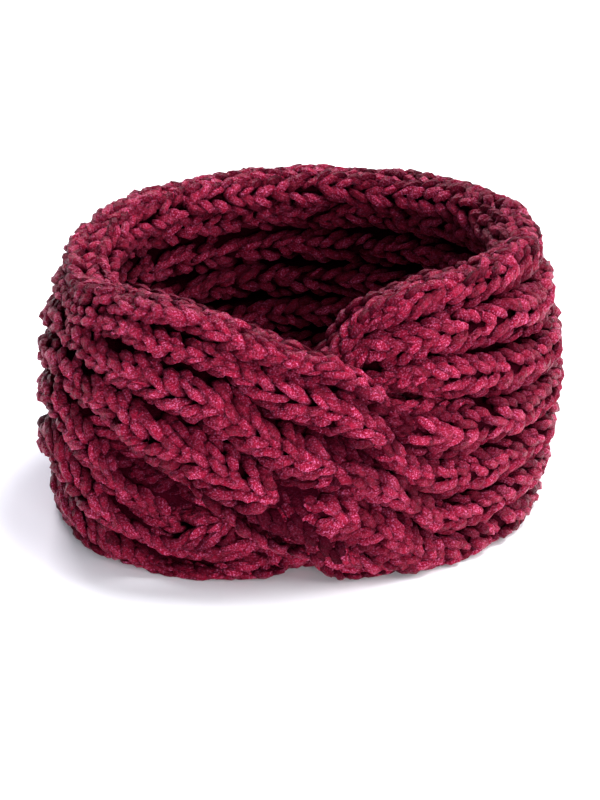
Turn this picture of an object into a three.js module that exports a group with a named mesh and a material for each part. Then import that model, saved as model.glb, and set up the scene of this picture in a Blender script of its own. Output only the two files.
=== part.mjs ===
// Ear warmer headband of chunky ribbed knit, with a twist at the front.
// The band stands on its lower edge. +Z is up, -Y is the front, where the strands cross, and
// +X is the right-hand side seen from the front. Lengths are in millimetres.
import * as THREE from "three";
import { mergeVertices } from "three/addons/utils/BufferGeometryUtils.js";

// Size over the ribs of the band as it stands, the twist's bulge left aside.
const BAND_WIDTH = 182;
const BAND_DEPTH = 166;
const WALL_THICKNESS = 18;
const RIB_PITCH = 15;

// Ribs in the whole band, and in the strand that crosses in front.
const RIBS = 7;
const OVER_RIBS = 4;
const UNDER_RIBS = RIBS - OVER_RIBS;

// Plan of the wall: a rounded oval, a little wider towards the front, its back slumped to +X.
const PLAN_EXPONENT = 2.1;
const FRONT_FULLNESS = 0.06;
const PLAN_SLUMP = 0.06;

// Profile of the wall: widest at half height, curling in below and leaning in above.
const LEAN_BELOW_DEG = 18;
const LEAN_ABOVE_DEG = 28;

// Relief of the ribs: groove depth outside and inside, and how round a rib is.
const GROOVE_DEPTH = 6.5;
const INNER_GROOVE_DEPTH = 4.5;
const RIB_ROUNDNESS = 0.7;
// Length of the rounded rim and hem, in ribs.
const EDGE_ROUNDING = 0.6;
// Depth by which the hem is pressed flat where the band stands on it.
const HEM_FLATTENING = 2.5;

// Clear gap between neighbouring pieces.
const PIECE_GAP = 0.3;

// Angles round the band are degrees from the front centre, positive towards +X.
// The strands run between these two, and the back band takes the rest of the circle.
const LEFT_JOIN_DEG = -45;
const RIGHT_JOIN_DEG = 40;

// Step at the sewn seam, as a share of the wall, and the length over which it falls.
const SEAM_STEP = 0.2;
const SEAM_FALL_DEG = 2.5;

// Heights in the tables are in rib pitches above the hem, edge_0 the uppermost edge and one
// more edge below each rib. Push is how far the piece stands out from the wall's middle, tilt
// how much further its upper edge does, and thickness its own, all as shares of the wall.
const BAND_COLUMNS = [
  "angle", "edge_0", "edge_1", "edge_2", "edge_3", "edge_4", "edge_5", "edge_6", "edge_7",
  "push", "tilt", "thickness",
];
const BAND_ROWS = [
  [40, 7, 6.15, 5.2, 4.15, 3.0, 1.95, 1.05, 0, 0, 0, 1],
  [62, 7, 6.1, 5.0, 3.95, 3.0, 2.1, 1.15, 0, 0.02, 0.1, 1],
  [90, 7, 6, 5, 4, 3, 2, 1, 0, 0.05, 0.08, 1],
  [130, 7, 6, 5, 4, 3, 2, 1, 0, 0, 0.1, 1],
  [180, 7, 6, 5, 4, 3, 2, 1, 0, 0, 0, 1],
  [245, 6.95, 6, 5, 4, 3, 2, 1, 0, 0, -0.15, 1],
  [280, 6.6, 6.05, 5.5, 4.7, 3.8, 2.8, 1.4, 0, 0, -0.28, 1],
  [298, 6.45, 5.95, 5.6, 4.85, 4.05, 3.15, 1.7, 0, 0, -0.28, 1],
  [315, 6.6, 6.05, 5.55, 4.7, 3.85, 2.35, 1.15, 0, 0, -0.14, 1],
];

const OVER_COLUMNS = [
  "angle", "edge_0", "edge_1", "edge_2", "edge_3", "edge_4", "push", "tilt", "thickness",
];
const OVER_ROWS = [
  [-45, 6.6, 6.05, 5.55, 4.7, 3.87, -0.06, -0.08, 1.0],
  [-32, 6.55, 6.0, 5.4, 4.5, 3.4, 0.02, -0.04, 1.0],
  [-18, 6.45, 5.9, 5.25, 4.15, 2.65, 0.1, 0.0, 0.9],
  [-8, 6.1, 5.6, 4.95, 3.7, 1.85, 0.17, 0.0, 0.8],
  [2, 5.75, 5.2, 4.2, 3.0, 1.1, 0.2, 0.0, 0.75],
  [12, 5.15, 4.75, 3.8, 2.6, 0.15, 0.2, 0.0, 0.75],
  [22, 4.5, 3.65, 2.9, 2.0, 0.0, 0.12, 0.0, 0.85],
  [32, 4.25, 3.1, 2.05, 1.2, 0.0, 0.04, 0.0, 1.0],
  [40, 4.16, 3.0, 1.95, 1.05, 0.0, 0.0, 0.0, 1.0],
];

const UNDER_COLUMNS = [
  "angle", "edge_0", "edge_1", "edge_2", "edge_3", "push", "tilt", "thickness",
];
const UNDER_ROWS = [
  [-45, 3.83, 2.35, 1.15, 0.0, 0.0, -0.06, 1.0],
  [-34, 3.3, 1.7, 0.9, 0.0, 0.03, -0.35, 0.95],
  [-24, 3.0, 1.15, 0.6, 0.0, 0.1, -0.85, 0.85],
  [-14, 2.8, 1.4, 0.65, 0.0, 0.05, -0.8, 0.75],
  [-5, 3.4, 1.95, 0.95, 0.0, 0.0, -0.7, 0.65],
  [2, 4.6, 3.2, 1.8, 0.3, -0.36, -0.32, 0.6],
  [8, 5.6, 4.5, 3.2, 1.9, -0.6, 0.0, 0.6],
  [16, 6.3, 5.75, 4.9, 4.0, -0.55, 0.1, 0.6],
  [22, 6.6, 6.0, 5.1, 4.6, -0.28, 0.1, 0.75],
  [30, 6.85, 6.1, 5.25, 4.4, -0.04, 0.0, 0.95],
  [40, 7.0, 6.15, 5.2, 4.2, 0.0, 0.0, 1.0],
];

// Angle at which each rib of the over strand ends in the seam, uppermost rib first.
const SEAM_END_DEG = [15, 17, 9, -1];

// Stations: how many steps round each piece, and points across each rib.
const BAND_STEPS = 34;
const STRAND_STEPS = 42;
const OUTER_POINTS_PER_RIB = 6;
const INNER_POINTS_PER_RIB = 4;

const YARN_COLOUR = 0x96204a;
const YARN_SHADE_COLOUR = 0x7d1b3f;
const YARN_ROUGHNESS = 0.95;

const BAND_HEIGHT = RIBS * RIB_PITCH;
const RADIUS_BELOW = BAND_HEIGHT / 2 / THREE.MathUtils.degToRad(LEAN_BELOW_DEG);
const RADIUS_ABOVE = BAND_HEIGHT / 2 / THREE.MathUtils.degToRad(LEAN_ABOVE_DEG);
const HEM_DROP = RADIUS_BELOW * Math.sin(THREE.MathUtils.degToRad(LEAN_BELOW_DEG));
const WIDEST_HEIGHT = HEM_DROP - HEM_FLATTENING;

// Reads a table at an angle: a smooth curve through each column.
function tableAt(columns, rows, angle) {
  const last = rows.length - 2;
  let index = 0;
  while (index < last && angle > rows[index + 1][0]) index += 1;
  const here = rows[index];
  const next = rows[index + 1];
  const before = rows[Math.max(index - 1, 0)];
  const after = rows[Math.min(index + 2, rows.length - 1)];
  const span = next[0] - here[0];
  const share = (angle - here[0]) / span;
  const row = {};
  columns.forEach((name, column) => {
    const slopeHere = ((next[column] - before[column]) / (next[0] - before[0])) * span;
    const slopeNext = ((after[column] - here[column]) / (after[0] - here[0])) * span;
    const rise = next[column] - here[column];
    const curve = (slopeHere + slopeNext - 2 * rise) * share;
    const bend = (3 * rise - 2 * slopeHere - slopeNext + curve) * share;
    row[name] = here[column] + (slopeHere + bend) * share;
  });
  return row;
}

// Point of the wall: angle round it, height along its curved face, distance out from its middle.
function wallPoint(angle, height, out) {
  const above = height - BAND_HEIGHT / 2;
  const radius = above < 0 ? RADIUS_BELOW : RADIUS_ABOVE;
  const lean = above / radius;
  const reach = out * Math.cos(lean) - radius * (1 - Math.cos(lean));
  const turn = THREE.MathUtils.degToRad(angle);
  const across = Math.sin(turn);
  const back = -Math.cos(turn);
  const planX = Math.sign(across) * Math.abs(across) ** (2 / PLAN_EXPONENT);
  const planY = Math.sign(back) * Math.abs(back) ** (2 / PLAN_EXPONENT);
  const halfWidth = (BAND_WIDTH - WALL_THICKNESS) / 2;
  const halfDepth = (BAND_DEPTH - WALL_THICKNESS) / 2;
  const y = (halfDepth + reach) * planY;
  const x = (halfWidth + reach) * planX * (1 - FRONT_FULLNESS * planY) + PLAN_SLUMP * (halfDepth + y);
  const z = WIDEST_HEIGHT + radius * Math.sin(lean) + out * Math.sin(lean);
  return [x, y, Math.max(z, 0)];
}

// Full thickness near the middle of a piece, rounding to nothing at its rim and hem.
function edgeRounding(rib, ribs) {
  const inwards = Math.min(rib, ribs - rib, EDGE_ROUNDING) / EDGE_ROUNDING;
  return Math.sqrt(1 - (1 - inwards) ** 2);
}

// Height of a point that lies a number of ribs below the upper edge.
function heightAt(row, rib, ribs) {
  const upper = Math.min(Math.floor(rib), ribs - 1);
  const share = rib - upper;
  const pitches = row["edge_" + upper] * (1 - share) + row["edge_" + (upper + 1)] * share;
  return pitches * RIB_PITCH;
}

// How far a rib of the over strand stands proud: it rises from the left join, and drops where
// the rib ends in the seam.
function seamStep(angle, rib) {
  const end = SEAM_END_DEG[Math.min(Math.floor(rib), OVER_RIBS - 1)];
  const rise = THREE.MathUtils.smoothstep(angle, LEFT_JOIN_DEG, end);
  const fall = THREE.MathUtils.smoothstep(angle, end, end + SEAM_FALL_DEG);
  return SEAM_STEP * rise * (1 - fall);
}

// How far the middle of a piece stands out from the wall's middle.
function pushAt(row, rib, ribs) {
  return (row.push + row.tilt * (1 - rib / ribs)) * WALL_THICKNESS;
}

// Closed outline of one piece at an angle: down the outer face and up the inner one.
function sectionAt(piece, angle) {
  const row = tableAt(piece.columns, piece.rows, angle);
  const points = [];
  const outerSteps = piece.ribs * OUTER_POINTS_PER_RIB;
  for (let step = 0; step <= outerSteps; step += 1) {
    const rib = step / OUTER_POINTS_PER_RIB;
    const crest = Math.abs(Math.sin(Math.PI * rib)) ** RIB_ROUNDNESS;
    const half = WALL_THICKNESS / 2 - GROOVE_DEPTH * (1 - crest);
    const push = pushAt(row, rib, piece.ribs) + piece.step(angle, rib) * WALL_THICKNESS;
    const out = push + half * row.thickness * edgeRounding(rib, piece.ribs);
    points.push(wallPoint(angle, heightAt(row, rib, piece.ribs), out));
  }
  const innerSteps = piece.ribs * INNER_POINTS_PER_RIB;
  for (let step = innerSteps - 1; step > 0; step -= 1) {
    const rib = step / INNER_POINTS_PER_RIB;
    const crest = Math.abs(Math.cos(Math.PI * rib)) ** RIB_ROUNDNESS;
    const half = WALL_THICKNESS / 2 - INNER_GROOVE_DEPTH * (1 - crest);
    const push = pushAt(row, rib, piece.ribs);
    const out = push - half * row.thickness * edgeRounding(rib, piece.ribs);
    points.push(wallPoint(angle, heightAt(row, rib, piece.ribs), out));
  }
  return points;
}

// Skin over a run of sections of equal length, with a flat cap at each end.
function skin(sections) {
  const count = sections[0].length;
  const positions = [];
  const triangles = [];
  sections.forEach((section) => section.forEach((point) => positions.push(...point)));
  for (let station = 0; station < sections.length - 1; station += 1) {
    for (let point = 0; point < count; point += 1) {
      const beside = (point + 1) % count;
      const a = station * count + point;
      const b = station * count + beside;
      const c = (station + 1) * count + beside;
      const d = (station + 1) * count + point;
      triangles.push(a, b, c, a, c, d);
    }
  }
  const ends = [
    { first: 0, facing: 1 },
    { first: (sections.length - 1) * count, facing: -1 },
  ];
  ends.forEach((end) => {
    const middle = positions.length / 3;
    const centre = [0, 0, 0];
    for (let point = 0; point < count; point += 1) {
      for (let axis = 0; axis < 3; axis += 1) {
        centre[axis] += positions[(end.first + point) * 3 + axis] / count;
      }
    }
    positions.push(...centre);
    for (let point = 0; point < count; point += 1) {
      const here = end.first + point;
      const beside = end.first + ((point + 1) % count);
      if (end.facing > 0) triangles.push(middle, beside, here);
      else triangles.push(middle, here, beside);
    }
  });
  const geometry = new THREE.BufferGeometry();
  geometry.setAttribute("position", new THREE.Float32BufferAttribute(positions, 3));
  geometry.setIndex(triangles);
  const closed = mergeVertices(geometry, 0.001);
  closed.computeVertexNormals();
  return closed;
}

function pieceMesh(piece) {
  const sections = [];
  for (let step = 0; step <= piece.steps; step += 1) {
    const angle = piece.from + ((piece.to - piece.from) * step) / piece.steps;
    sections.push(sectionAt(piece, angle));
  }
  const material = new THREE.MeshStandardMaterial({
    color: piece.colour,
    roughness: YARN_ROUGHNESS,
    metalness: 0,
  });
  const mesh = new THREE.Mesh(skin(sections), material);
  mesh.name = piece.name;
  return mesh;
}

// The gap at a join, as an angle: half of it is taken from each side.
const GAP_DEG = THREE.MathUtils.radToDeg(PIECE_GAP / (BAND_DEPTH / 2 - WALL_THICKNESS));
const noStep = () => 0;

const headband = new THREE.Group();
headband.add(
  pieceMesh({
    name: "back_band",
    ribs: RIBS,
    columns: BAND_COLUMNS,
    rows: BAND_ROWS,
    step: noStep,
    from: RIGHT_JOIN_DEG + GAP_DEG / 2,
    to: 360 + LEFT_JOIN_DEG - GAP_DEG / 2,
    steps: BAND_STEPS,
    colour: YARN_COLOUR,
  }),
  pieceMesh({
    name: "over_strand",
    ribs: OVER_RIBS,
    columns: OVER_COLUMNS,
    rows: OVER_ROWS,
    step: seamStep,
    from: LEFT_JOIN_DEG + GAP_DEG / 2,
    to: RIGHT_JOIN_DEG - GAP_DEG / 2,
    steps: STRAND_STEPS,
    colour: YARN_COLOUR,
  }),
  pieceMesh({
    name: "under_strand",
    ribs: UNDER_RIBS,
    columns: UNDER_COLUMNS,
    rows: UNDER_ROWS,
    step: noStep,
    from: LEFT_JOIN_DEG + GAP_DEG / 2,
    to: RIGHT_JOIN_DEG - GAP_DEG / 2,
    steps: STRAND_STEPS,
    colour: YARN_SHADE_COLOUR,
  }),
);

// The origin is the middle of the footprint, on the surface that the band stands on.
const footprint = new THREE.Box3().setFromObject(headband).getCenter(new THREE.Vector3());
headband.children.forEach((mesh) => mesh.position.set(-footprint.x, -footprint.y, 0));

export default headband;
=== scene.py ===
# %% [markdown]
# # A twisted ear warmer in chenille rib
#
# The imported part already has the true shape: a thick knitted wall with seven ribs round a head
# opening, and a twist in front where four ribs cross over three. This lesson dresses it. Each
# stitch is laid on the wall as two short lengths of plush yarn, so that the ribs read as columns
# of V-shaped stitches, as they do in the photograph.
#
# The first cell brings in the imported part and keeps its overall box, in metres.

import math

import bpy
import numpy as np
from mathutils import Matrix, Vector


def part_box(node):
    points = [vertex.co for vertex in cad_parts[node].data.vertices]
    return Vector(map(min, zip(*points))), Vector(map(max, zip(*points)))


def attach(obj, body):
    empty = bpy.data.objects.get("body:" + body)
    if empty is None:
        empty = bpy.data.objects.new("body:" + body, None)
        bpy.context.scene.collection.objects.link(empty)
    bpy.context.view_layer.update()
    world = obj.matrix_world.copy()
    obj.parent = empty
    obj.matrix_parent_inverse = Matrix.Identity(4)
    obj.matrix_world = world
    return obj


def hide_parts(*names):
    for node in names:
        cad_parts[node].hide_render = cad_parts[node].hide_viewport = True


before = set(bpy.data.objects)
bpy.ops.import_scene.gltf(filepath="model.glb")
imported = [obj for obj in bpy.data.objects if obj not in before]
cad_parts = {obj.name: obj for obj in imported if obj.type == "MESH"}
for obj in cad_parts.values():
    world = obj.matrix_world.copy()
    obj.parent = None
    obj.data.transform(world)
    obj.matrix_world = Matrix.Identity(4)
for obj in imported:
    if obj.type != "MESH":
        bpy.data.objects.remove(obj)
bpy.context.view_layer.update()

# %% [markdown]
# ## Sizes
#
# The lengths are in millimetres and are those of the part's own source, so that the yarn lies
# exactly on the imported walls. `STITCH` is the length of one stitch along a rib and
# `YARN_RADIUS` the half thickness of the plush yarn.

# %% Sizes in millimetres
MM = 0.001
BAND_WIDTH = 182.0
BAND_DEPTH = 166.0
WALL = 18.0
PITCH = 15.0
RIBS = 7
PLAN_EXPONENT = 2.1
FRONT_FULLNESS = 0.06
PLAN_SLUMP = 0.06
LEAN_BELOW = math.radians(18)
LEAN_ABOVE = math.radians(28)
GROOVE = 6.5
INNER_GROOVE = 4.5
ROUNDNESS = 0.7
EDGE_ROUNDING = 0.6
HEM_FLATTENING = 2.5
LEFT_JOIN = -45.0
RIGHT_JOIN = 40.0
SEAM_STEP = 0.2
SEAM_FALL = 2.5
SEAM_ENDS = np.array([15.0, 17.0, 9.0, -1.0])

BAND_HEIGHT = RIBS * PITCH
RADIUS_BELOW = BAND_HEIGHT / 2 / LEAN_BELOW
RADIUS_ABOVE = BAND_HEIGHT / 2 / LEAN_ABOVE
WIDEST_HEIGHT = RADIUS_BELOW * math.sin(LEAN_BELOW) - HEM_FLATTENING

STITCH = 5.8
YARN_RADIUS = 1.8
rng = np.random.default_rng(27)
print("band", BAND_WIDTH, "x", BAND_DEPTH, "mm,", RIBS, "ribs of", PITCH, "mm")

# %% [markdown]
# ## The strand tables
#
# Each row gives, at an angle round the band, the heights of the edges between the ribs in rib
# pitches, then how far the strand is pushed out, tilted and thinned, in shares of the wall.
# Angles are degrees from the front centre, positive to the right.

# %% The strand tables
BAND = np.array([
    [40, 7, 6.15, 5.2, 4.15, 3.0, 1.95, 1.05, 0, 0, 0, 1],
    [62, 7, 6.1, 5.0, 3.95, 3.0, 2.1, 1.15, 0, 0.02, 0.1, 1],
    [90, 7, 6, 5, 4, 3, 2, 1, 0, 0.05, 0.08, 1],
    [130, 7, 6, 5, 4, 3, 2, 1, 0, 0, 0.1, 1],
    [180, 7, 6, 5, 4, 3, 2, 1, 0, 0, 0, 1],
    [245, 6.95, 6, 5, 4, 3, 2, 1, 0, 0, -0.15, 1],
    [280, 6.6, 6.05, 5.5, 4.7, 3.8, 2.8, 1.4, 0, 0, -0.28, 1],
    [298, 6.45, 5.95, 5.6, 4.85, 4.05, 3.15, 1.7, 0, 0, -0.28, 1],
    [315, 6.6, 6.05, 5.55, 4.7, 3.85, 2.35, 1.15, 0, 0, -0.14, 1],
])
OVER = np.array([
    [-45, 6.6, 6.05, 5.55, 4.7, 3.87, -0.06, -0.08, 1.0],
    [-32, 6.55, 6.0, 5.4, 4.5, 3.4, 0.02, -0.04, 1.0],
    [-18, 6.45, 5.9, 5.25, 4.15, 2.65, 0.1, 0.0, 0.9],
    [-8, 6.1, 5.6, 4.95, 3.7, 1.85, 0.17, 0.0, 0.8],
    [2, 5.75, 5.2, 4.2, 3.0, 1.1, 0.2, 0.0, 0.75],
    [12, 5.15, 4.75, 3.8, 2.6, 0.15, 0.2, 0.0, 0.75],
    [22, 4.5, 3.65, 2.9, 2.0, 0.0, 0.12, 0.0, 0.85],
    [32, 4.25, 3.1, 2.05, 1.2, 0.0, 0.04, 0.0, 1.0],
    [40, 4.16, 3.0, 1.95, 1.05, 0.0, 0.0, 0.0, 1.0],
])
UNDER = np.array([
    [-45, 3.83, 2.35, 1.15, 0.0, 0.0, -0.06, 1.0],
    [-34, 3.3, 1.7, 0.9, 0.0, 0.03, -0.35, 0.95],
    [-24, 3.0, 1.15, 0.6, 0.0, 0.1, -0.85, 0.85],
    [-14, 2.8, 1.4, 0.65, 0.0, 0.05, -0.8, 0.75],
    [-5, 3.4, 1.95, 0.95, 0.0, 0.0, -0.7, 0.65],
    [2, 4.6, 3.2, 1.8, 0.3, -0.36, -0.32, 0.6],
    [8, 5.6, 4.5, 3.2, 1.9, -0.6, 0.0, 0.6],
    [16, 6.3, 5.75, 4.9, 4.0, -0.55, 0.1, 0.6],
    [22, 6.6, 6.0, 5.1, 4.6, -0.28, 0.1, 0.75],
    [30, 6.85, 6.1, 5.25, 4.4, -0.04, 0.0, 0.95],
    [40, 7.0, 6.15, 5.2, 4.2, 0.0, 0.0, 1.0],
])
STRANDS = {
    "back_band": {"table": BAND, "ribs": 7, "span": (RIGHT_JOIN, 360 + LEFT_JOIN), "steps": False},
    "over_strand": {"table": OVER, "ribs": 4, "span": (LEFT_JOIN, RIGHT_JOIN), "steps": True},
    "under_strand": {"table": UNDER, "ribs": 3, "span": (LEFT_JOIN, RIGHT_JOIN), "steps": False},
}
print({name: strand["table"].shape for name, strand in STRANDS.items()})

# %% [markdown]
# ## Reading a table
#
# Between two rows every column follows a cubic curve. Its slope at a row is the rise between
# the two neighbouring rows over their distance, so the ribs bend smoothly through the twist.


# %% Reading a table
def read_table(table, angle):
    """Columns of a table at an array of angles, by a cubic through each pair of rows."""
    keys = table[:, 0]
    here = np.clip(np.searchsorted(keys, angle) - 1, 0, len(keys) - 2)
    ahead = here + 1
    before = np.maximum(here - 1, 0)
    after = np.minimum(here + 2, len(keys) - 1)
    span = keys[ahead] - keys[here]
    share = ((angle - keys[here]) / span)[..., None]
    slope_here = (table[ahead] - table[before]) * (span / (keys[ahead] - keys[before]))[..., None]
    slope_next = (table[after] - table[here]) * (span / (keys[after] - keys[here]))[..., None]
    rise = table[ahead] - table[here]
    curve = (slope_here + slope_next - 2 * rise) * share
    bend = (3 * rise - 2 * slope_here - slope_next + curve) * share
    return table[here] + (slope_here + bend) * share


print("rib edges at the front centre:", read_table(OVER, np.array([0.0]))[0, 1:6].round(2))

# %% [markdown]
# ## The wall
#
# A point of the wall has three numbers: the angle round it, the height along its curved face,
# and the distance out from its middle. Seen from above the wall is a rounded oval, whose half
# width and half depth are scaled by the sine and cosine of the angle, each raised to a power
# just under one. Seen from the side it is widest at mid height and curls in below and above.


# %% The wall
def wall_point(angle, height, out):
    """Place on the wall: an oval in plan times an arc in profile."""
    above = height - BAND_HEIGHT / 2
    radius = np.where(above < 0, RADIUS_BELOW, RADIUS_ABOVE)
    lean = above / radius
    reach = out * np.cos(lean) - radius * (1 - np.cos(lean))
    turn = np.radians(angle)
    across = np.sin(turn)
    back = -np.cos(turn)
    plan_x = np.sign(across) * np.abs(across) ** (2 / PLAN_EXPONENT)
    plan_y = np.sign(back) * np.abs(back) ** (2 / PLAN_EXPONENT)
    half_width = (BAND_WIDTH - WALL) / 2
    half_depth = (BAND_DEPTH - WALL) / 2
    y = (half_depth + reach) * plan_y
    x = (half_width + reach) * plan_x * (1 - FRONT_FULLNESS * plan_y) + PLAN_SLUMP * (half_depth + y)
    z = WIDEST_HEIGHT + (radius + out) * np.sin(lean)
    return np.stack([x, y, np.maximum(z, 0)], -1)


print("front of the wall at mid height:", wall_point(0.0, BAND_HEIGHT / 2, 0.0).round(1))

# %% [markdown]
# ## The skin of a strand
#
# A strand's closed section is walked with one number counted in ribs: it starts at the upper
# edge, runs down the outer face, rounds the lower edge and comes back up the inner face. On the
# outer face the crests lie in the middle of each rib, on the inner face between them, as in a
# real one-by-one rib where the knit columns of one side are the hollows of the other.


# %% The skin of a strand
def smooth_step(value, low, high):
    """Rise from nought to one between two limits: three squares less two cubes."""
    share = np.clip((value - low) / (high - low), 0, 1)
    return share * share * (3 - 2 * share)


def seam_step(angle, rib):
    """How far a rib of the crossing strand stands proud before the seam, as a share of the wall."""
    end = SEAM_ENDS[np.clip(np.floor(rib).astype(int), 0, len(SEAM_ENDS) - 1)]
    return SEAM_STEP * smooth_step(angle, LEFT_JOIN, end) * (1 - smooth_step(angle, end, end + SEAM_FALL))


def skin(strand, angle, around, proud=True, shrink=0.0):
    """Place on a strand's surface, shrunk towards its middle by some millimetres."""
    angle, around = np.broadcast_arrays(np.asarray(angle, float), np.asarray(around, float))
    ribs = strand["ribs"]
    walk = np.mod(around, 2 * ribs)
    outside = walk < ribs
    rib = np.where(outside, walk, 2 * ribs - walk)
    row = read_table(strand["table"], angle)
    upper = np.clip(np.floor(rib).astype(int), 0, ribs - 1)
    part = rib - upper
    top = np.take_along_axis(row, upper[..., None] + 1, -1)[..., 0]
    low = np.take_along_axis(row, upper[..., None] + 2, -1)[..., 0]
    height = (top * (1 - part) + low * part) * PITCH
    inwards = np.minimum(np.minimum(rib, ribs - rib), EDGE_ROUNDING) / EDGE_ROUNDING
    rounding = np.sqrt(1 - (1 - inwards) ** 2)
    crest = np.where(outside, np.abs(np.sin(np.pi * rib)), np.abs(np.cos(np.pi * rib))) ** ROUNDNESS
    half = WALL / 2 - np.where(outside, GROOVE, INNER_GROOVE) * (1 - crest)
    half = np.maximum(half * row[..., -1] * rounding - shrink, 0.0)
    middle = (row[..., -3] + row[..., -2] * (1 - rib / ribs)) * WALL
    if strand["steps"] and proud:
        middle = middle + np.where(outside, seam_step(angle, rib) * WALL, 0.0)
    return wall_point(angle, height, middle + np.where(outside, half, -half))


# %% [markdown]
# The part stands with its origin under the middle of its footprint, so the same shift is worked
# out here from the same sections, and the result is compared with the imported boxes.


# %% The shift to the part's own frame
PACKED_SECTIONS = 43
PACKED_STEPS = 12


def footprint():
    """Middle of the box, in plan, of all the strands' sections."""
    lows, highs = [], []
    for strand in STRANDS.values():
        angle = np.linspace(*strand["span"], PACKED_SECTIONS)[:, None]
        around = np.arange(0, 2 * strand["ribs"], 1 / PACKED_STEPS)[None, :]
        points = skin(strand, angle, around).reshape(-1, 3)
        lows.append(points.min(0))
        highs.append(points.max(0))
    return (np.min(lows, 0) + np.max(highs, 0)) / 2 * [1, 1, 0]


SHIFT = footprint()
for name, strand in STRANDS.items():
    angle = np.linspace(*strand["span"], 200)[:, None]
    points = (skin(strand, angle, np.arange(0, 2 * strand["ribs"], 0.05)[None, :]) - SHIFT).reshape(-1, 3)
    low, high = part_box(name)
    print(name, "differs from its packed box by", round(float(max(
        np.abs(points.min(0) - np.array(low) / MM).max(),
        np.abs(points.max(0) - np.array(high) / MM).max())), 2), "mm")

# %% [markdown]
# ## Building one mesh
#
# Every new piece is made from arrays of vertices and faces, in metres, with its own attributes.
# `tone` varies from one length of yarn to the next. The other attribute holds painted light and shade:
# nought where the yarn dives out of sight or lies in shade, and one where it is lit, so the material
# paints it darker there. The faces stay flat, and glint one by one as plush does. What would reach
# below the floor is pressed flat on it: the height is the logarithm of one plus the exponential of what
# it was.


# %% Building one mesh
FLOOR_GAP = 0.1
FLOOR_SOFTNESS = 1.1


def make_piece(name, points, faces, tone, painted_light, nodes):
    """A faceted mesh with two vertex attributes, riding on the part."""
    points = points.reshape(-1, 3) - SHIFT
    points[:, 2] = FLOOR_GAP + FLOOR_SOFTNESS * np.logaddexp(0, points[:, 2] / FLOOR_SOFTNESS)
    mesh = bpy.data.meshes.new(name)
    mesh.from_pydata((points * MM).tolist(), [], faces)
    for key, values in (("tone", tone), ("painted_light", painted_light)):
        attribute = mesh.attributes.new(key, "FLOAT", "POINT")
        attribute.data.foreach_set("value", np.asarray(values, np.float32).ravel())
    mesh.polygons.foreach_set("use_smooth", np.zeros(len(mesh.polygons), bool))
    mesh.update()
    piece = bpy.data.objects.new(name, mesh)
    bpy.context.scene.collection.objects.link(piece)
    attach(piece, "root")
    for node in nodes:
        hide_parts(node)
    triangles = int(sum(len(face) - 2 for face in faces))
    print(f"{name}: {triangles} triangles")
    return piece


# %% [markdown]
# ## The ground
#
# Under the stitches lies the body of the knit: the same skin, drawn in by `GROUND_SHRINK`
# millimetres on the crests and by `GROUND_DIP` more in the grooves, and by `EDGE_INSET` of a rib
# at the edges. It is painted nearly black, as painted shade between the stitches, a little lighter
# on the crests, and closes the gaps between the stitches.


# %% The ground of each strand
GROUND_SHRINK = 2.4
GROUND_DIP = 3.0
EDGE_INSET = 0.3
RING_ANGLE = 1.5
END_INSET = 0.2
POINTS_PER_RIB = 24
GROUND_PAINTED_LIGHT = 0.05
GROUND_TONE = 0.6


def tube_and_fans(rings, count):
    """Faces of one tube of rings, then a fan at each end round a last pair of points."""
    ring = np.arange(rings - 1)[:, None] * count
    here = np.arange(count)[None, :]
    beside = (here + 1) % count
    quads = np.stack([ring + here, ring + beside, ring + count + beside, ring + count + here], -1)
    total = rings * count
    last = total - count
    first_fan = np.stack([np.full(count, total), beside[0], here[0]], -1)
    last_fan = np.stack([np.full(count, total + 1), last + here[0], last + beside[0]], -1)
    return quads.reshape(-1, 4), np.concatenate([first_fan, last_fan])


def ground(name, strand):
    """The strand's skin drawn in, as a closed tube with a fan at each end."""
    ribs = strand["ribs"]
    start, end = strand["span"]
    rings = int((end - start) / RING_ANGLE) + 1
    angle = np.linspace(start + END_INSET, end - END_INSET, rings)[:, None]
    walk = np.linspace(0, 2 * ribs, POINTS_PER_RIB * ribs, endpoint=False)[None, :]
    rib = np.where(walk < ribs, walk, 2 * ribs - walk)
    inset = EDGE_INSET + rib * (ribs - 2 * EDGE_INSET) / ribs
    around = np.where(walk < ribs, inset, 2 * ribs - inset)
    crest = np.abs(np.where(walk < ribs, np.sin(np.pi * rib), np.cos(np.pi * rib)))
    shrink = GROUND_SHRINK + GROUND_DIP * (1 - crest)
    points = skin(strand, angle, around, proud=False, shrink=shrink)
    count = points.shape[1]
    quads, fans = tube_and_fans(rings, count)
    # Painted shade: the ground is painted nearly black, a little lighter on the crests.
    painted_light = np.broadcast_to(GROUND_PAINTED_LIGHT * crest ** 4, (rings, count)).ravel()
    points = np.concatenate([points.reshape(-1, 3), points[[0, -1]].mean(1)])
    tone = GROUND_TONE * rng.random(len(points))
    return make_piece(name + "_ground", points, quads.tolist() + fans.tolist(), tone,
                      np.append(painted_light, [0, 0]), [name])


grounds = [ground(name, strand) for name, strand in STRANDS.items()]

# %% [markdown]
# ## Ropes
#
# A rib looks like a rope laid on the wall. Its crest is a line on the skin, given by a few
# places: angle, ribs round the section, and how many millimetres it is raised there. Along that
# line three directions stand square to each other: along the rope, outwards, and down across it.
# The outward direction is the cross product of a small step across the skin and one along it.
# The half width and the depth of the rope are measured on the skin, between its crest and the
# grooves beside it, and held between limits. A rope also wanders a little, by a slow wave.


# %% Ropes
LINE_POINTS = 500
HALF_WIDTHS = (4.6, 9.2)
DEPTHS = (4.4, 8.4)
DEPTH_GAIN = 1.25
STEP_ANGLE = 0.6
STEP_RIBS = 0.2
WANDER_OUT = 0.9
WANDER_ACROSS = 1.1
WAVE_LENGTHS = (22, 75)


def normalise(vectors):
    """Vectors of length one."""
    return vectors / np.maximum(np.linalg.norm(vectors, axis=-1, keepdims=True), 1e-9)


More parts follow.
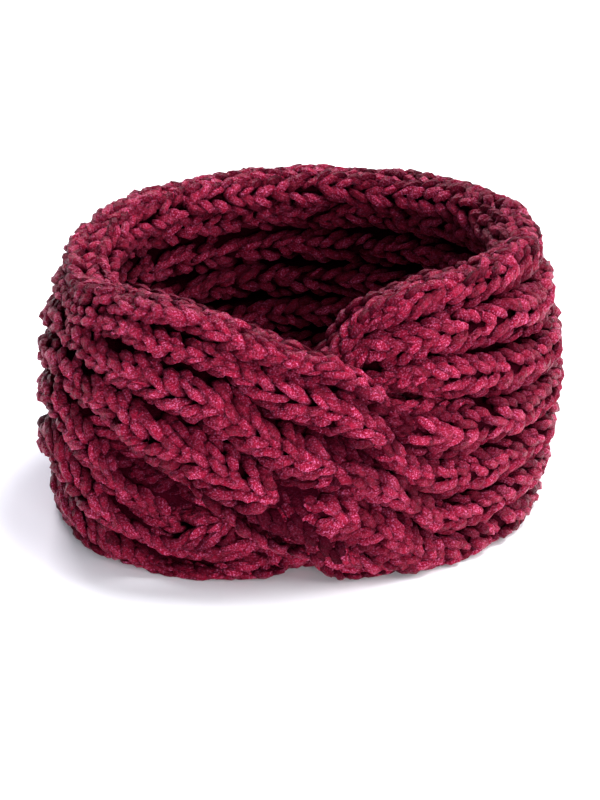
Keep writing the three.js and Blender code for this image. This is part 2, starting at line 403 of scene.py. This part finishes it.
def wander(length, size):
    """A slow random wave along a rope: the mean of three sines of random length and phase."""
    waves = 2 * np.pi / rng.uniform(*WAVE_LENGTHS, 3)
    phases = rng.uniform(0, 2 * np.pi, 3)
    return size * np.sin(length[:, None] * waves + phases).mean(1)


def rope_on(strand, places, proud=True, widths=HALF_WIDTHS, depths=DEPTHS):
    """The line of a rope: length run, then crest, outwards, down, half width and depth."""
    places = np.array([(tuple(place) + (0,))[:3] for place in places], float)
    angle = np.linspace(places[0, 0], places[-1, 0], LINE_POINTS)
    around = np.interp(angle, places[:, 0], places[:, 1])
    raised = np.interp(angle, places[:, 0], places[:, 2])
    crest = skin(strand, angle, around, proud)
    step_along = (skin(strand, angle + STEP_ANGLE, around, proud)
                  - skin(strand, angle - STEP_ANGLE, around, proud))
    step_across = (skin(strand, angle, around + STEP_RIBS, proud)
                   - skin(strand, angle, around - STEP_RIBS, proud))
    along = normalise(np.gradient(crest, axis=0))
    out = normalise(np.cross(step_across, step_along))
    out = normalise(out - along * (out * along).sum(-1, keepdims=True))
    down = np.cross(along, out)
    half = np.clip(np.abs((step_across * down).sum(-1)) / (2 * STEP_RIBS) / 2, *widths)
    grooves = skin(strand, angle, around + 0.5, proud) + skin(strand, angle, around - 0.5, proud)
    depth = np.clip(DEPTH_GAIN * ((crest - grooves / 2) * out).sum(-1), *depths)
    length = np.concatenate([[0], np.cumsum(np.linalg.norm(np.diff(crest, axis=0), axis=1))])
    crest = crest + out * (raised + wander(length, WANDER_OUT))[:, None]
    crest = crest + down * wander(length, WANDER_ACROSS)[:, None]
    return length, np.concatenate([crest, out, down, half[:, None], depth[:, None]], axis=1)


def rope_at(rope, run):
    """Crest, outwards, down, half width and depth at some lengths along a rope."""
    length, columns = rope
    place = np.interp(run, length, np.arange(LINE_POINTS))
    low = np.minimum(place.astype(int), LINE_POINTS - 2)
    share = (place - low)[..., None]
    row = columns[low] * (1 - share) + columns[low + 1] * share
    beyond = (run - np.clip(run, 0, length[-1]))[..., None]
    out, down = row[..., 3:6], row[..., 6:9]
    crest = row[..., 0:3] + np.cross(out, down) * beyond
    return crest, out, down, row[..., 9:10], row[..., 10:11]


rope = rope_on(STRANDS["back_band"], [(RIGHT_JOIN, 3.5), (360 + LEFT_JOIN, 3.5)])
print("middle rib of the band:", round(float(rope[0][-1])), "mm long")

# %% [markdown]
# ## Yarn
#
# A length of yarn is a closed tube: a few rings, each with a few sides, and a pole at each end.
# Its middle line is given by a run along the rope and a turn round it: the rope's section is
# half an ellipse, as wide and deep as was measured. Every ring and side is a little uneven, as
# plush is.


# %% Yarn
SIDES = 6
UNEVEN = 0.12
POLE = 0.7


def tubes(rope, run, turn, lift, radius, knob):
    """Closed tubes on a rope: rings at some runs, turns and lifts, with their radius."""
    crest, out, down, half, depth = rope_at(rope, run)
    sine, cosine = np.sin(turn)[..., None], np.cos(turn)[..., None]
    radial = down * sine + out * cosine
    section = down * half * sine + out * depth * cosine
    centre = crest - out * depth + section * knob[..., None] + radial * lift[..., None]
    along = normalise(np.gradient(centre, axis=1))
    normal = normalise(radial - along * (radial * along).sum(-1, keepdims=True))
    side = np.cross(along, normal)
    spin = np.arange(SIDES) * 2 * np.pi / SIDES
    reach = radius[..., None] * (1 + UNEVEN * rng.standard_normal(radius.shape + (SIDES,)))
    ring = (centre[:, :, None, :]
            + side[:, :, None, :] * (reach * np.cos(spin))[..., None]
            + normal[:, :, None, :] * (reach * np.sin(spin))[..., None])
    poles = centre[:, [0, -1]] + along[:, [0, -1]] * (radius[:, [0, -1]] * [-POLE, POLE])[..., None]
    return np.concatenate([ring.reshape(len(ring), -1, 3), poles], axis=1)


def tube_faces(count, rings):
    """Faces of so many tubes of so many rings, numbered one after the other."""
    quads, fans = tube_and_fans(rings, SIDES)
    shift = np.arange(count)[:, None, None] * (rings * SIDES + 2)
    return (quads + shift).reshape(-1, 4).tolist() + (fans + shift).reshape(-1, 3).tolist()


# %% [markdown]
# ## The stitches of a rope
#
# Each side of a rope has two or three rows of legs, from the crest down to the groove. A leg
# starts at the first turn of its row, in degrees from the crest, and ends nearer the crest by the
# slant, so that the rows of both sides point along the rope like a V. A row starts late by a
# share of a stitch. A leg swells like a leaf: its radius follows the square root of a sine, and
# its ends sink below its neighbours. Its painted light is full in the middle, fades at both ends,
# and is lower near the groove: painted shade where the yarn dives. No two legs are quite alike.


# %% The rows of legs
LEG = np.linspace(0, 1, 7)
LEG_RUN = (LEG - 0.5) * 1.25
LEG_SINK = np.abs(2 * LEG - 1) ** 2.6
LEG_SWELL = 0.35 + 0.65 * np.sqrt(np.sin(np.pi * (0.03 + 0.94 * LEG)))
# Painted light along a leg: full in the middle, painted darker at both ends where it dives.
LEG_LIGHT = np.sin(np.pi * LEG) ** 0.7


def row_of_legs(late, turn, slant, girth=1.0, light=1.0, brighter=0.0):
    """One row: turn - slant * leg in degrees, and painted light + brighter * leg as a share."""
    return {"late": late, "turn": np.radians(turn - slant * LEG), "girth": girth,
            "light": LEG_LIGHT * (light + brighter * LEG)}


# Painted shade: rows nearer the groove get a lower painted light.
ROWS = [
    row_of_legs(0.0, 40, 36),
    row_of_legs(0.5, 70, 34, girth=0.95, light=0.1, brighter=0.75),
]
WIDE_ROWS = [
    row_of_legs(0.0, 30, 28),
    row_of_legs(0.5, 52, 28, light=0.45, brighter=0.5),
    row_of_legs(0.2, 74, 28, girth=0.95, light=0.1, brighter=0.6),
]
print("rows on each side:", len(ROWS), "or", len(WIDE_ROWS))

# %% [markdown]
# A rope may end in a knob: over the last `KNOB` millimetres its section shrinks like a quarter
# circle. `SCATTER` holds how much the legs differ: the radius, length and slant in shares, the
# place in stitches, the turn in radians, and the lift in millimetres.


# %% The stitches of a rope
KNOB = 8.0
KNOB_LEAST = 0.08
USUAL_HALF_WIDTH = 7.5
SCATTER = {"radius": 0.14, "length": 0.12, "place": 0.1, "slant": 0.1, "turn": 0.08, "lift": 0.35}


def scatter(count, kind, loose=1.0):
    """One random number a leg, as a column."""
    return rng.normal(0, SCATTER[kind] * loose, (count, 1))


def run_of(points, tone, painted_light):
    """What a piece needs of a run of tubes: points, and two numbers a vertex."""
    tones = np.repeat(tone[:, None], points.shape[1], axis=1)
    # Painted shade: the inward side of each tube is painted darker than its outward side.
    outwards = 0.5 + 0.5 * np.sin(np.arange(SIDES) * 2 * np.pi / SIDES)
    shaded = (painted_light[:, None] * (0.25 + 0.75 * outwards)).ravel()
    painted_lights = np.repeat(np.append(shaded, [0, 0])[None, :], len(points), axis=0)
    return points, tones, painted_lights


def knob_width(middle, length, knobs):
    """Share of the full section at each stitch: the root of 1 - (1 - reach / KNOB) squared."""
    reach = np.full(len(middle), KNOB)
    if "start" in knobs:
        reach = np.minimum(reach, middle)
    if "end" in knobs:
        reach = np.minimum(reach, length - middle)
    return np.sqrt(1 - (1 - np.clip(reach / KNOB, KNOB_LEAST, 1)) ** 2)


def leg_radius(row, half, knob):
    """Radius of each leg in millimetres: thinner on a narrow rope and on a knob."""
    width_share = 0.65 + 0.35 * np.clip(half / USUAL_HALF_WIDTH, 0.5, 1.25)
    girth = row["girth"] * width_share * (0.75 + 0.25 * knob)
    return YARN_RADIUS * girth[:, None] * (1 + scatter(len(half), "radius"))


def stitches(rope, knobs="", loose=1.0, painted_shade=1.0, rows=ROWS):
    """Runs of tubes for the stitches of one rope, with rounded ends where asked."""
    length = rope[0][-1]
    stitch_count = max(int(round(length / STITCH)), 1)
    pitch = length / stitch_count
    runs = []
    for side in (-1, 1):
        for row in rows:
            count = max(stitch_count - int(row["late"] > 0 and "end" in knobs), 1)
            middle = (np.arange(count) + 0.5) * pitch
            knob = knob_width(middle, length, knobs)
            radius = leg_radius(row, rope_at(rope, middle)[3][:, 0], knob)
            run = LEG_RUN * (1 + scatter(count, "length", loose)) + row["late"]
            run = run + scatter(count, "place", loose)
            turn = side * row["turn"] * (1 + scatter(count, "slant", loose))
            turn = turn + scatter(count, "turn", loose)
            lift = radius * (-0.75 - 0.85 * LEG_SINK) + scatter(count, "lift", loose)
            width = np.repeat(knob[:, None], len(LEG), axis=1)
            points = tubes(rope, middle[:, None] + pitch * run, turn, lift, radius * LEG_SWELL, width)
            # The rope's painted shade times the row's painted light, put into the colour.
            runs.append(run_of(points, rng.random(count), painted_shade * row["light"]))
    return runs


print("legs in one stitch of a wide rope:", 2 * len(WIDE_ROWS))

# %% [markdown]
# ## Where the ropes lie
#
# Each rope is a short list of places: angle, ribs round the section, and the raise in
# millimetres. In the crossing strand every outer rope is in two parts: those from the left end
# in knobs on the seam, and those from the right begin a little beneath them. Ropes painted darker,
# as painted shade, lie beneath the knobs and in the hollow of the under strand, so that stitches show
# there too.

# %% Ropes of the crossing strand
OVER_LEFT = [
    [(-45, 0.56), (0, 0.54, 3.2), (10, 0.42, 3.8), (18, 0.2, 4.2)],
    [(-45, 1.5), (8, 1.5, 3.4), (14, 1.4, 3.8), (19, 1.2, 4.0)],
    [(-45, 2.5), (0, 2.5, 3.2), (9, 2.5, 4.6)],
    [(-45, 3.5), (-32, 3.47, 1.5), (-18, 3.38, 2.5), (-8, 3.33, 4.0), (-0.5, 3.28, 6.0)],
]
OVER_RIGHT = [
    [(22.5, 0.42), (30, 0.5), (40, 0.5)],
    [(12, 2.05, -2), (16, 1.85, -1), (22, 1.6), (30, 1.5), (40, 1.5)],
    [(3, 2.95, -2), (9, 2.85, -1), (15, 2.7), (22, 2.55), (32, 2.5), (40, 2.5)],
    [(2.6, 3.38, -2), (7, 3.3), (12, 3.26), (22, 3.25), (32, 3.46), (40, 3.5)],
    [(-7, 3.8, -2), (2, 3.8, -0.5), (12, 3.77), (22, 3.77), (31, 3.84)],
]
OVER_BENEATH = [
    [(12, 0.5, -1.5), (28, 0.5, -1.5)],
    [(10, 1.5, -1.5), (26, 1.5, -1.5)],
    [(-2, 2.0, 0.5), (14, 2.0, 0.5)],
    [(2, 2.5, -1.5), (18, 2.5, -1.5)],
    [(-8, 3.0, 0.5), (10, 3.0, 0.5)],
    [(-6, 3.5, -1.5), (10, 3.5, -1.5)],
    [(-10, 3.85, -0.5), (8, 3.85, -0.5)],
]
print("ropes of the crossing strand:", len(OVER_LEFT + OVER_RIGHT + OVER_BENEATH))

# %% [markdown]
# The hem under the crossing is tucked in: a strand of its own, with a table like those above,
# carries two short ropes there.

# %% Ropes of the under strand and the hem
UNDER_OUTER = [
    [(-45, 0.55), (-38, 0.74, 1), (-30, 0.98, 3), (-24, 1.12, 5), (-18, 1.18, 6.5), (-12, 1.12, 7.5),
     (-8.5, 0.9, 7.5), (-7, 0.6, 6.5)],
    [(-20, 0.72, 0), (-15, 0.72, 1), (-10, 0.6, 1)],
    [(-45, 1.5), (-34, 1.66, 1), (-24, 1.84, 2), (-12, 1.8, 3), (-2, 1.6)],
    [(-45, 2.5), (-10, 2.5, 2), (-2, 2.5)],
    [(6, 0.5), (40, 0.5)],
    [(6, 1.5), (40, 1.5)],
    [(10, 2.5), (40, 2.5)],
]
UNDER_BENEATH = [
    [(-40, 0.25, -2), (-12, 0.4, -2)],
    [(-34, 0.6, -2.5), (-12, 0.75, -2)],
]
HEM = {
    "table": np.array([
        [-14, 1.1, 0, -0.25, 0, 0.6],
        [0, 1.1, 0, -0.35, 0, 0.6],
        [16, 0.8, 0, -0.45, 0, 0.6],
    ]),
    "ribs": 1,
    "steps": False,
}
TUCKED = [[(-12, 0.35), (14, 0.35)], [(-12, 0.75), (14, 0.75)]]
print("ropes of the under strand and the hem:", len(UNDER_OUTER + UNDER_BENEATH + TUCKED))

# %% [markdown]
# The inner ropes run between the ribs. The upper and the lower edge each carry two ropes, one
# `inner` of a rib inside the edge and one `outer` of a rib outside it, with their own limits of
# half width and depth.

# %% The ropes of each strand
LOOSE = 1.3
# Painted shade: ropes beneath the knobs, in the hollow and on the inner face are painted darker by these
# shares.
BENEATH_PAINTED_SHADE = 0.28
HOLLOW_PAINTED_SHADE = 0.2
INNER_LOOSE = 1.8
INNER_PAINTED_SHADE = 0.8
INNER_DEPTHS = (3.0, 5.0)
EDGE_RAISE = 0.5
EDGES = {
    "back_band": {"inner": 0.2, "outer": 0.13, "widths": (6.6, 7.4), "depths": (4.4, 5.2)},
    "over_strand": {"inner": 0.34, "outer": 0.02, "widths": (4.2, 5.0), "depths": (3.8, 4.4)},
    "under_strand": {"inner": 0.28, "outer": 0.06, "widths": (4.6, 6.0), "depths": (3.8, 4.4)},
}


def over_ropes(strand):
    """Runs of the outer ropes of the crossing strand."""
    runs = []
    for places in OVER_LEFT:
        runs += stitches(rope_on(strand, places, proud=False), "end", LOOSE, rows=WIDE_ROWS)
    for places in OVER_RIGHT:
        runs += stitches(rope_on(strand, places, proud=False), "start", LOOSE, rows=WIDE_ROWS)
    for places in OVER_BENEATH:
        runs += stitches(rope_on(strand, places, proud=False), painted_shade=BENEATH_PAINTED_SHADE, rows=WIDE_ROWS)
    return runs


def under_ropes(strand):
    """Runs of the outer ropes of the under strand, with a knob at each free end."""
    runs = []
    for places in UNDER_OUTER:
        knobs = "end" if places[0][0] == LEFT_JOIN else "start"
        runs += stitches(rope_on(strand, places), knobs, LOOSE, rows=WIDE_ROWS)
    for places in UNDER_BENEATH:
        runs += stitches(rope_on(strand, places), painted_shade=HOLLOW_PAINTED_SHADE, rows=WIDE_ROWS)
    for places in TUCKED:
        runs += stitches(rope_on(HEM, places))
    return runs


def band_ropes(strand):
    """Runs of the outer ropes of the band, one along the middle of each rib."""
    start, end = strand["span"]
    runs = []
    for rib in range(strand["ribs"]):
        runs += stitches(rope_on(strand, [(start, rib + 0.5), (end, rib + 0.5)]), loose=LOOSE)
    return runs


def inner_ropes(strand):
    """Runs of the inner ropes of a strand, one on each line between two ribs."""
    start, end = strand["span"]
    runs = []
    for rib in range(1, strand["ribs"]):
        around = 2 * strand["ribs"] - rib
        rope = rope_on(strand, [(start, around), (end, around)], depths=INNER_DEPTHS)
        runs += stitches(rope, loose=INNER_LOOSE, painted_shade=INNER_PAINTED_SHADE)
    return runs


def edge_ropes(strand, edge):
    """Runs of the ropes along the upper and the lower edge of a strand."""
    start, end = strand["span"]
    ribs, inner, outer = strand["ribs"], edge["inner"], edge["outer"]
    runs = []
    for around in (-inner, outer, ribs - outer, ribs + inner):
        places = [(start, around, EDGE_RAISE), (end, around, EDGE_RAISE)]
        rope = rope_on(strand, places, widths=edge["widths"], depths=edge["depths"])
        runs += stitches(rope, loose=LOOSE)
    return runs


def stitched(name, runs):
    """One piece from a list of runs of tubes."""
    points, tone, painted_light = (np.concatenate([run[k] for run in runs]) for k in range(3))
    return make_piece(name, points, tube_faces(len(points), len(LEG)), tone, painted_light, [])


OUTER_ROPES = {"back_band": band_ropes, "over_strand": over_ropes, "under_strand": under_ropes}
yarn_pieces = []
for name, strand in STRANDS.items():
    yarn_pieces.append(stitched(name + "_outer_yarn", OUTER_ROPES[name](strand)))
    yarn_pieces.append(stitched(name + "_inner_yarn", inner_ropes(strand)))
    yarn_pieces.append(stitched(name + "_edge_yarn", edge_ropes(strand, EDGES[name])))

# %% [markdown]
# ## The chenille
#
# Chenille is a short velvet pile. Coarse noise and the tone shift the red from stitch to stitch,
# and fine noise is the pile itself, whose tips get painted pink glints, a painted highlight, on the
# lighter legs. The painted light and shade takes the yarn towards near black where it dives, in the
# grooves and on the inward side of each leg, and takes the gloss and the sheen away there.


# %% Shader nodes
def attribute_node(nodes, name):
    """The outputs of a node that reads a named attribute."""
    node = nodes.new("ShaderNodeAttribute")
    node.attribute_name = name
    return node.outputs


def noise_node(nodes, links, place, scale, detail):
    """Noise at a place, whose grains are about one over the scale in metres."""
    node = nodes.new("ShaderNodeTexNoise")
    node.inputs["Scale"].default_value = scale
    node.inputs["Detail"].default_value = detail
    links.new(place, node.inputs["Vector"])
    return node.outputs["Fac"]


def math_node(nodes, links, operation, *values):
    """A sum or product of sockets and numbers."""
    node = nodes.new("ShaderNodeMath")
    node.operation = operation
    for socket, value in zip(node.inputs, values):
        if isinstance(value, float):
            socket.default_value = value
        else:
            links.new(value, socket)
    return node.outputs[0]


def ramp_node(nodes, links, factor, low, high):
    """A ramp between two stops, each a position and a colour."""
    node = nodes.new("ShaderNodeValToRGB")
    for stop, (position, colour) in zip(node.color_ramp.elements, (low, high)):
        stop.position = position
        stop.color = colour + (1,)
    links.new(factor, node.inputs["Fac"])
    return node.outputs["Color"]


def mix_node(nodes, links, factor, first, second):
    """A blend from the first colour to the second, each a socket or three numbers."""
    node = nodes.new("ShaderNodeMix")
    node.data_type = "RGBA"
    links.new(factor, node.inputs["Factor"])
    for key, value in (("A", first), ("B", second)):
        if isinstance(value, tuple):
            node.inputs[key].default_value = value + (1,)
        else:
            links.new(value, node.inputs[key])
    return node.outputs["Result"]


print("kinds of shader node: attribute, noise, math, ramp, mix")

# %% [markdown]
# The colours are linear shares of red, green and blue. The roughness, sheen and bump are those
# of short plush under a soft light.


# %% The chenille
PILE_SCALE = 1900.0
CLUMP_SCALE = 520.0
DARK_RED = (0.08, 0.001, 0.006)
LIGHT_RED = (0.255, 0.0036, 0.024)
PAINTED_GLINT_PINK = (0.95, 0.24, 0.52)
PAINTED_SHADE_BLACK = (0.014, 0.0004, 0.0025)
GLOSS_TINT = (1.0, 0.35, 0.6)
SHEEN_TINT = (1.0, 0.25, 0.45)


def yarn_material():
    """Crimson plush from noise in the object's own coordinates and the vertex attributes."""
    material = bpy.data.materials.new("chenille")
    material.use_nodes = True
    nodes, links = material.node_tree.nodes, material.node_tree.links
    shader = nodes["Principled BSDF"]
    place = attribute_node(nodes, "position")["Vector"]
    tone = attribute_node(nodes, "tone")["Fac"]
    painted_light = attribute_node(nodes, "painted_light")["Fac"]
    pile = noise_node(nodes, links, place, PILE_SCALE, 2.0)
    clump = noise_node(nodes, links, place, CLUMP_SCALE, 3.0)

    tone_share = math_node(nodes, links, "MULTIPLY", tone, 0.45)
    redness = math_node(nodes, links, "MULTIPLY_ADD", clump, 0.9, tone_share)
    red = ramp_node(nodes, links, redness, (0.30, DARK_RED), (0.80, LIGHT_RED))
    # Painted highlight: pink glints put into the colour at the pile's tips, stronger on lighter legs.
    painted_glints = ramp_node(nodes, links, pile, (0.52, (0, 0, 0)), (0.78, (0.85, 0.85, 0.85)))
    painted_glint_strength = math_node(nodes, links, "MULTIPLY_ADD", tone, 0.85, 0.2)
    painted_glint_share = math_node(nodes, links, "MULTIPLY", painted_glints, painted_glint_strength)
    lit = mix_node(nodes, links, painted_glint_share, red, PAINTED_GLINT_PINK)
    # Painted shade: the colour goes to near black where the painted light attribute is low.
    colour = mix_node(nodes, links, painted_light, PAINTED_SHADE_BLACK, lit)
    links.new(colour, shader.inputs["Base Color"])

    gloss = math_node(nodes, links, "MULTIPLY", painted_light, 0.16)
    links.new(gloss, shader.inputs["Specular IOR Level"])
    sheen = math_node(nodes, links, "MULTIPLY", painted_light, 0.06)
    links.new(sheen, shader.inputs["Sheen Weight"])

    bump = nodes.new("ShaderNodeBump")
    bump.inputs["Strength"].default_value = 1.0
    bump.inputs["Distance"].default_value = 0.0013
    links.new(math_node(nodes, links, "MULTIPLY_ADD", pile, 0.6, clump), bump.inputs["Height"])
    links.new(bump.outputs["Normal"], shader.inputs["Normal"])

    shader.inputs["Roughness"].default_value = 0.36
    shader.inputs["Specular Tint"].default_value = GLOSS_TINT + (1,)
    shader.inputs["Sheen Roughness"].default_value = 0.4
    shader.inputs["Sheen Tint"].default_value = SHEEN_TINT + (1,)
    return material


chenille = yarn_material()
for piece in grounds + yarn_pieces:
    piece.data.materials.append(chenille)
print("dressed pieces:", len(grounds) + len(yarn_pieces))

# %% [markdown]
# ## The stage
#
# A plain white floor and a pale sky, as in the photograph.

# %% The floor and the sky
FLOOR_HALF = 4
FLOOR_COLOUR = (0.92, 0.93, 0.97, 1)
SKY_COLOUR = (0.88, 0.91, 1.0, 1)
SKY_STRENGTH = 0.48

scene = bpy.context.scene
corners = [(-FLOOR_HALF, -FLOOR_HALF, 0), (FLOOR_HALF, -FLOOR_HALF, 0),
           (FLOOR_HALF, FLOOR_HALF, 0), (-FLOOR_HALF, FLOOR_HALF, 0)]
floor_mesh = bpy.data.meshes.new("floor")
floor_mesh.from_pydata(corners, [], [(0, 1, 2, 3)])
floor = bpy.data.objects.new("floor", floor_mesh)
scene.collection.objects.link(floor)
floor_paint = bpy.data.materials.new("floor_paint")
floor_paint.use_nodes = True
floor_shader = floor_paint.node_tree.nodes["Principled BSDF"]
floor_shader.inputs["Base Color"].default_value = FLOOR_COLOUR
floor_shader.inputs["Roughness"].default_value = 0.9
floor_mesh.materials.append(floor_paint)

world = bpy.data.worlds.new("sky")
scene.world = world
world.use_nodes = True
background = world.node_tree.nodes["Background"]
background.inputs["Color"].default_value = SKY_COLOUR
background.inputs["Strength"].default_value = SKY_STRENGTH
scene.view_settings.view_transform = "Standard"
print("floor and sky ready")

# %% [markdown]
# ## The lights
#
# The key stands to the right, so the inside of the band falls dark on the right and a soft
# shadow lies to the left. A higher sun fills from above, one from behind lights the rim, and a
# small lamp in front lifts the crossing.


# %% The lights
def area_light(name, place, target, size, power, colour):
    """A square light that faces a point."""
    light = bpy.data.lights.new(name, "AREA")
    light.size = size
    light.energy = power
    light.color = colour
    lamp = bpy.data.objects.new(name, light)
    lamp.location = place
    lamp.rotation_euler = (Vector(target) - Vector(place)).to_track_quat("-Z", "Y").to_euler()
    scene.collection.objects.link(lamp)


def sun_light(name, height, bearing, energy, softness, colour):
    """A sun at some height over the horizon, from a bearing counted from the right to the back."""
    light = bpy.data.lights.new(name, "SUN")
    light.energy = energy
    light.angle = math.radians(softness)
    light.color = colour
    lamp = bpy.data.objects.new(name, light)
    height, bearing = math.radians(height), math.radians(bearing)
    level = math.cos(height)
    towards = Vector((level * math.cos(bearing), level * math.sin(bearing), math.sin(height)))
    lamp.rotation_euler = towards.to_track_quat("Z", "Y").to_euler()
    scene.collection.objects.link(lamp)


sun_light("key", 46, -8, 2.6, 60, (1.0, 0.985, 0.97))
sun_light("top", 68, 12, 2.6, 24, (0.98, 0.985, 1.0))
sun_light("back", 38, 108, 2.2, 20, (1.0, 0.95, 1.0))
area_light("front", (0.45, -1.3, 0.16), (0, 0, 0.05), 0.5, 24, (1.0, 0.98, 0.98))

# %% [markdown]
# ## The camera
#
# It looks down by 22 degrees from 0.72 m, with a long lens, and the object sits a little above
# the middle of the upright frame.

# %% The camera
CAMERA_DISTANCE = 0.72
CAMERA_TILT = math.radians(22)
TARGET_HEIGHT = 0.045
IMAGE_HEIGHT = 800
FOCAL_PIXELS = 2052
SHIFT_PIXELS = -25
SENSOR = 36
camera_data = bpy.data.cameras.new("camera")
camera_data.lens = FOCAL_PIXELS / IMAGE_HEIGHT * SENSOR
camera_data.sensor_width = SENSOR
camera_data.shift_y = SHIFT_PIXELS / IMAGE_HEIGHT
camera = bpy.data.objects.new("camera", camera_data)
camera.location = (0, -CAMERA_DISTANCE * math.cos(CAMERA_TILT),
                   TARGET_HEIGHT + CAMERA_DISTANCE * math.sin(CAMERA_TILT))
camera.rotation_euler = (math.pi / 2 - CAMERA_TILT, 0, 0)
scene.collection.objects.link(camera)
scene.camera = camera
print("lens", round(camera_data.lens, 1), "mm")
